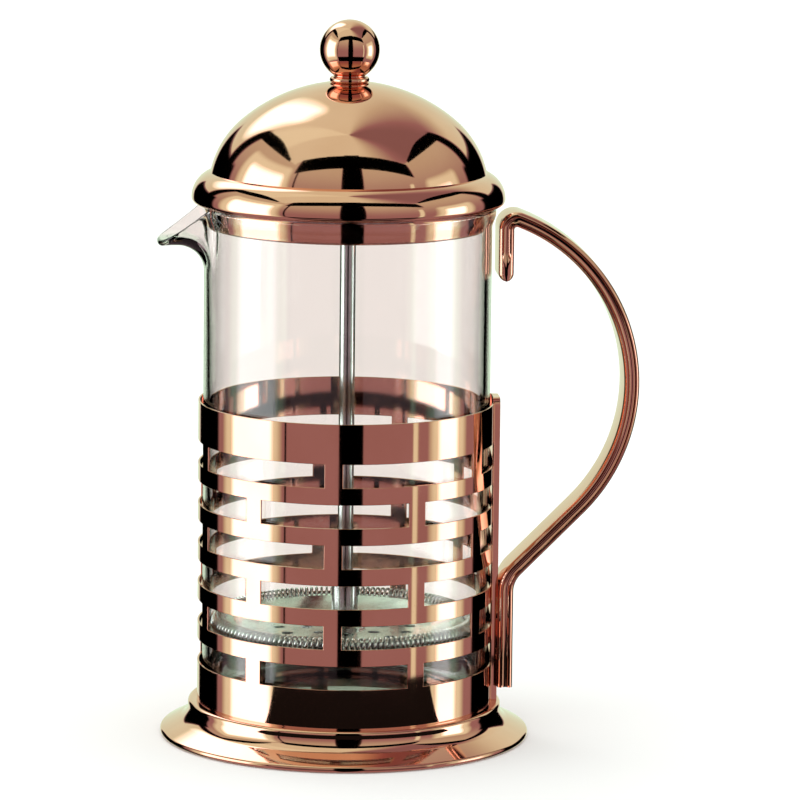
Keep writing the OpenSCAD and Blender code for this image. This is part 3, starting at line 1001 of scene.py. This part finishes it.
# %% The dome
lid_t = 0.7 * MM
skirt_r = bore_r - 0.5 * MM
flange_r = radius("lid_liner")
curl_r = 1.6 * MM
curl_z = rim_z + 0.3 * MM + curl_r
brow_r = 8.95 * MM
brow_x = flange_r + curl_r - brow_r
dome_a = glass_r - 1.3 * MM
dome_zc = rim_z + 3.9 * MM
dome_b = 36.8 * MM
side_share = 0.6638
side_r = dome_a * side_share
side_x = dome_a - side_r
cap_k = (side_x ** 2 - (dome_b - side_r) ** 2) / (2 * (dome_b - side_r))
cap_r = dome_b + cap_k
cap_z = dome_zc - cap_k
cap_a = math.degrees(math.atan2(cap_k, side_x))
seat_top = top("lid_dome")
stem_r = 4.2 * MM
crease_a = 12.2
brow_a = 71.2


def shell(inset, seat):
    """The dome's outline from the hole to the rolled edge, drawn in by inset."""
    flat_a = math.degrees(math.asin((seat - cap_z) / (cap_r - inset)))
    outline = [(stem_r, seat)]
    outline += arc((0, cap_z), cap_r - inset, flat_a, cap_a, 30)
    outline += arc((side_x, dome_zc), side_r - inset, cap_a, crease_a, 28)[1:]
    outline += arc((brow_x, curl_z), brow_r - inset, brow_a, 0, 26)
    return outline


dome = shell(0, seat_top)
dome += arc((flange_r, curl_z), curl_r, 0, -90, 10)[1:]
dome += arc((flange_r, curl_z), curl_r - lid_t, -90, 0, 6)
dome += shell(lid_t, seat_top - lid_t)[::-1]
as_piece("dome", spun(dome, 256), "lid", ["lid_dome"], copper_spun, 50)

# %% The liner
skirt_z = bottom("lid_liner")
bush_r = 5 * MM
turn_in = 0.9 * MM
liner = arc((skirt_r - turn_in, skirt_z + turn_in), turn_in, -90, 0, 8)
liner += [(skirt_r, rim_z - 0.2 * MM)]
liner += arc((flange_r - lid_t / 2, rim_z + lid_t / 2), lid_t / 2, -90, 90, 8)
liner += [(skirt_r - lid_t, rim_z + lid_t)]
liner += [(skirt_r - lid_t, skirt_z + turn_in)]
liner += arc((skirt_r - turn_in, skirt_z + turn_in), turn_in - lid_t, 0, -90, 4)
liner += [(34 * MM, skirt_z + lid_t), (32 * MM, skirt_z + 1.6 * MM), (bush_r, skirt_z + lid_t)]
liner = [p for p in liner if p[0] < 31 * MM or p[0] > 35 * MM] + [(bush_r, skirt_z)]
as_piece("liner", spun(liner, 256), "lid", ["lid_liner"], copper_spun)

# %% [markdown]
# ## Ferrule and knob
# A turned bead closes the hole in the dome and guides the rod. Above it the ball screws onto the
# rod with its short neck. The ball's outline comes down to the neck's radius and meets the neck
# there, and the neck has a small round at its foot.

# %% The ferrule
bead_top = top("lid_ferrule")
bead_r = radius("lid_ferrule")
rod_r = radius("plunger_rod")
guide_r = rod_r + 0.05 * MM
bead_h = bead_top - seat_top
ferrule = [(guide_r, bottom("lid_ferrule")), (stem_r, bottom("lid_ferrule")), (stem_r, seat_top)]
ferrule += [(bead_r - bead_h / 2, seat_top)]
ferrule += arc((bead_r - bead_h / 2, seat_top + bead_h / 2), bead_h / 2, -90, 90, 18)
ferrule += [(guide_r, bead_top)]
as_piece("ferrule", spun(ferrule, 128), "lid", ["lid_ferrule"], copper_spun)

# %% The knob
knob_r = radius("knob_ball")
knob_z = top("knob_ball") - knob_r
neck_r = radius("knob_insert")
meet = math.degrees(math.asin(-math.sqrt(knob_r ** 2 - neck_r ** 2) / knob_r))
inner_top = knob_z - knob_r * 0.12
ball = [(0, top("knob_ball"))] + arc((0, knob_z), knob_r, 90, meet, 56)[1:]
ball += [(neck_r, inner_top), (0, inner_top)]
as_piece("knob", spun(ball, 128), "knob", ["knob_ball"], copper_spun, 60)

neck = [(guide_r, bead_top), (neck_r - 0.2 * MM, bead_top)]
neck += arc((neck_r - 0.2 * MM, bead_top + 0.2 * MM), 0.2 * MM, -90, 0, 4)
neck += [(neck_r - 0.01 * MM, inner_top - 0.05 * MM), (0, inner_top - 0.05 * MM)]
neck += [(0, top("plunger_rod") + 0.1 * MM), (guide_r, top("plunger_rod") + 0.1 * MM)]
as_piece("knob_neck", spun(neck, 96), "knob", ["knob_insert"], copper_spun)

# %% [markdown]
# ## The plunger
# A drawn steel rod carries the filter: a tube over its lower end, a dished plate with holes, the
# coil spring round its edge, a woven disc and a cross-shaped plate, all held by one nut.

# %% Rod and tube
rod_low, rod_high = bottom("plunger_rod"), top("plunger_rod")
chamfer = 0.4 * MM
rod = [(0, rod_low), (rod_r - chamfer, rod_low), (rod_r, rod_low + chamfer)]
rod += [(rod_r, rod_high - chamfer), (rod_r - chamfer, rod_high), (0, rod_high)]
as_piece("rod", spun(rod, 96), "plunger", ["plunger_rod"], drawn_steel, 30)

hub_z, hub_top = bottom("hub_sleeve"), top("hub_sleeve")
hub_r = 4.4 * MM
tube = [(rod_r, hub_z), (radius("hub_sleeve"), hub_z), (radius("hub_sleeve"), hub_z + 0.6 * MM)]
tube += arc((hub_r + 0.9 * MM, hub_z + 1.9 * MM), 0.9 * MM, 270, 180, 6)
tube += arc((hub_r - 0.5 * MM, hub_top - 0.5 * MM), 0.5 * MM, 0, 90, 6) + [(rod_r, hub_top)]
as_piece("rod_tube", spun(tube, 96), "plunger", ["hub_sleeve"], drawn_steel, 30)

# %% [markdown]
# ## The coil spring
# The spring is a close coil of wire bent into a ring. Its centreline goes round the filter once
# while the wire winds round that line 150 times. That is one formula on one angle, so Geometry
# Nodes place the points of a closed curve by it and give the curve a round section.

# %% The coil spring
coil_outer = radius("coil_spring")
coil_z = (top("coil_spring") + bottom("coil_spring")) / 2
coil_r = (top("coil_spring") - bottom("coil_spring")) / 2
wire_r = 0.42 * MM
sizes = {"Ring": coil_outer - coil_r, "Coil": coil_r - wire_r, "Wire": wire_r, "Height": coil_z,
         "Turns": 150, "Steps": 14}
tree, wind, given = geometry_tree("wind_spring", {**sizes, "Finish": None})
points = given["Turns"] * given["Steps"]
ring = wind.node("GeometryNodeCurvePrimitiveCircle", values={"Resolution": points})
share = wind.node("GeometryNodeInputIndex") / points
round_ring = share * (2 * math.pi)
round_wire = round_ring * given["Turns"]
reach = given["Ring"] + given["Coil"] * round_wire.cosine()
wound = wind.node("GeometryNodeSetPosition", values={
    "Geometry": ring,
    "Position": wind.joined(reach * round_ring.cosine(), reach * round_ring.sine(),
                            given["Height"] + given["Coil"] * round_wire.sine())})
section = wind.node("GeometryNodeCurvePrimitiveCircle",
                    values={"Resolution": 7, "Radius": given["Wire"]})
wire = wind.node("GeometryNodeCurveToMesh", values={"Curve": wound, "Profile Curve": section})
ended(wind, wire, given["Finish"])
spring_mesh = grown(tree, bpy.data.meshes.new("empty"), {**sizes, "Finish": spring_steel})
as_piece("coil_ring", spring_mesh, "plunger", ["coil_spring"], spring_steel, 80)

# %% [markdown]
# ## The woven disc
# The filter cloth is plain-woven wire. Both sets of wires follow the same wave over the disc,
# one set above where the other is below. Straight lines are laid out side by side, lifted by the
# wave, and cut off at the edge of the disc.

# %% The woven disc
cloth_r = radius("filter_mesh")
cloth_z = bottom("filter_mesh") + 0.2 * MM
pitch = 1.2 * MM
across = int(cloth_r / pitch)
sizes = {"Pitch": pitch, "Wires": across, "Wire": 0.13 * MM, "Height": cloth_z,
         "Edge": cloth_r - 0.3 * MM, "Hole": rod_r + 0.3 * MM}
tree, weave, given = geometry_tree("weave_cloth", {**sizes, "Finish": None})


def laid_wires(warp):
    """One set of parallel wires, along X for the warp and along Y for the weft."""
    reach = given["Wires"] * given["Pitch"]
    shift = 0.0 if warp else given["Pitch"] * 0.5

    def beside(way, step):
        """A vector along the wires, then across them."""
        return weave.joined(way, step, 0.0) if warp else weave.joined(step, way, 0.0)

    line = weave.node("GeometryNodeMeshLine", {"mode": "OFFSET"}, {
        "Count": given["Wires"] * 4 + 1, "Start Location": beside(-reach, 0.0),
        "Offset": beside(given["Pitch"] * 0.5, 0.0)})
    side = weave.node("GeometryNodeMeshLine", {"mode": "OFFSET"}, {
        "Count": given["Wires"] * 2 + 1, "Start Location": beside(0.0, shift - reach),
        "Offset": beside(0.0, given["Pitch"])})
    many = weave.node("GeometryNodeInstanceOnPoints", values={"Points": side, "Instance": line})
    real = weave.node("GeometryNodeRealizeInstances", values={0: many})
    wx, wy, _ = weave.parts(weave.node("GeometryNodeInputPosition").socket)
    far = (wx * wx + wy * wy).root()
    cut = weave.node("GeometryNodeDeleteGeometry", {"domain": "POINT"}, {
        "Geometry": real, "Selection": (far > given["Edge"]).most(far < given["Hole"])})
    pace = math.pi / given["Pitch"]
    wave = (wx * pace).sine() * (wy * pace).cosine() * given["Wire"] * (1.0 if warp else -1.0)
    lifted = weave.node("GeometryNodeSetPosition", values={
        "Geometry": cut, "Position": weave.joined(wx, wy, given["Height"] + wave)})
    return weave.node("GeometryNodeMeshToCurve", values={"Mesh": lifted})


both = weave.tree.nodes.new("GeometryNodeJoinGeometry")
for warp in (True, False):
    weave.tree.links.new(laid_wires(warp).socket, both.inputs[0])
round_wire = weave.node("GeometryNodeCurvePrimitiveCircle",
                        values={"Resolution": 3, "Radius": given["Wire"]})
cloth = weave.node("GeometryNodeCurveToMesh", values={"Curve": both.outputs[0],
                                                      "Profile Curve": round_wire})
ended(weave, cloth, given["Finish"])
cloth_mesh = grown(tree, bpy.data.meshes.new("empty"), {**sizes, "Finish": spring_steel})
as_piece("woven_disc", cloth_mesh, "plunger", ["filter_mesh"], spring_steel, 80)

# %% The cloth's turned-up edge
rim_h = top("filter_mesh")
turned = [(cloth_r - 0.4 * MM, cloth_z - 0.1 * MM), (cloth_r - 0.1 * MM, cloth_z - 0.1 * MM)]
turned += arc((cloth_r - 0.2 * MM, cloth_z + 0.1 * MM), 0.2 * MM, -60, 0, 4)
turned += arc((cloth_r - 0.2 * MM, rim_h - 0.2 * MM), 0.2 * MM, 0, 180, 6)
as_piece("cloth_edge", spun(turned, 192), "plunger", [], spring_steel, 60)

# %% [markdown]
# ## Pieces kept as they are
# Plates, nuts, the bush and the cushion already have their true shape in the imported model. Their
# meshes stay untouched, and only their material slots change.

# %% Pieces kept as they are
# The base plate takes the near-black steel, which is painted shade for the dark inside of the foot
finishes = {"base_plate": painted_shade_steel, "spiral_plate": pressed_steel, "cross_plate": pressed_steel,
            "ferrule_nut": pressed_steel, "hub_nut": pressed_steel, "liner_bush": black_plastic,
            "seat_cushion": black_rubber}
for node, finish in finishes.items():
    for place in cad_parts[node].material_slots:
        place.material = finish
print("kept:", ", ".join(finishes))

# %% [markdown]
# ## The floor
# A plain pale sheet. The metal doesn't mirror it, because the tent already gives every direction.
# Only the metal sees the dark card that lies on it before the foot, which keeps the lower band
# of the sleeve black.

# %% The floor
floor_look, graph, place = material("pale_floor")
mottle = noise(graph, place, 3, 3.0)
pale = graph.blend(mottle, (0.90, 0.90, 0.895, 1), (0.92, 0.92, 0.915, 1))
sheet_look = graph.node("ShaderNodeBsdfPrincipled", values={
    "Base Color": pale, "Roughness": 0.9, "Specular IOR Level": 0.0,
    "Normal": bump(graph, noise(graph, place, 400, 2.0), 0.05, 0.0002)})
surface(graph, sheet_look)
floor_mesh = bpy.data.meshes.new("floor")
build = bmesh.new()
bmesh.ops.create_grid(build, x_segments=8, y_segments=8, size=12)
build.to_mesh(floor_mesh)
build.free()
floor_mesh.materials.append(floor_look)
floor = bpy.data.objects.new("floor", floor_mesh)
floor.location.z = -0.0002
scene.collection.objects.link(floor)
floor.visible_glossy = False
floor.visible_transmission = False
print("floor laid")

# %% The dark card
card_look, graph, place = material("dark_card")
felt = graph.blend(noise(graph, place, 300, 2.0), (0.006, 0.006, 0.006, 1), (0.012, 0.011, 0.011, 1))
surface(graph, graph.node("ShaderNodeBsdfPrincipled", values={
    "Base Color": felt, "Roughness": 1.0, "Specular IOR Level": 0.0}))
card_mesh = bpy.data.meshes.new("card")
build = bmesh.new()
card_in, card_out, card_z = 68 * MM, 172 * MM, 0.5 * MM
edge_in, edge_out, sweep = [], [], 48
for k in range(sweep + 1):
    a = camera_azimuth - math.pi / 2 + math.radians(-48 + 108 * k / sweep)
    for ring, r in ((edge_in, card_in), (edge_out, card_out)):
        ring.append(build.verts.new((r * math.cos(a), r * math.sin(a), card_z)))
for k in range(sweep):
    build.faces.new([edge_in[k], edge_out[k], edge_out[k + 1], edge_in[k + 1]])
build.to_mesh(card_mesh)
build.free()
card_mesh.materials.append(card_look)
card = bpy.data.objects.new("dark_card", card_mesh)
scene.collection.objects.link(card)
card.visible_camera = card.visible_diffuse = card.visible_transmission = False
card.visible_shadow = False
print("card of", sweep, "steps laid before the foot")
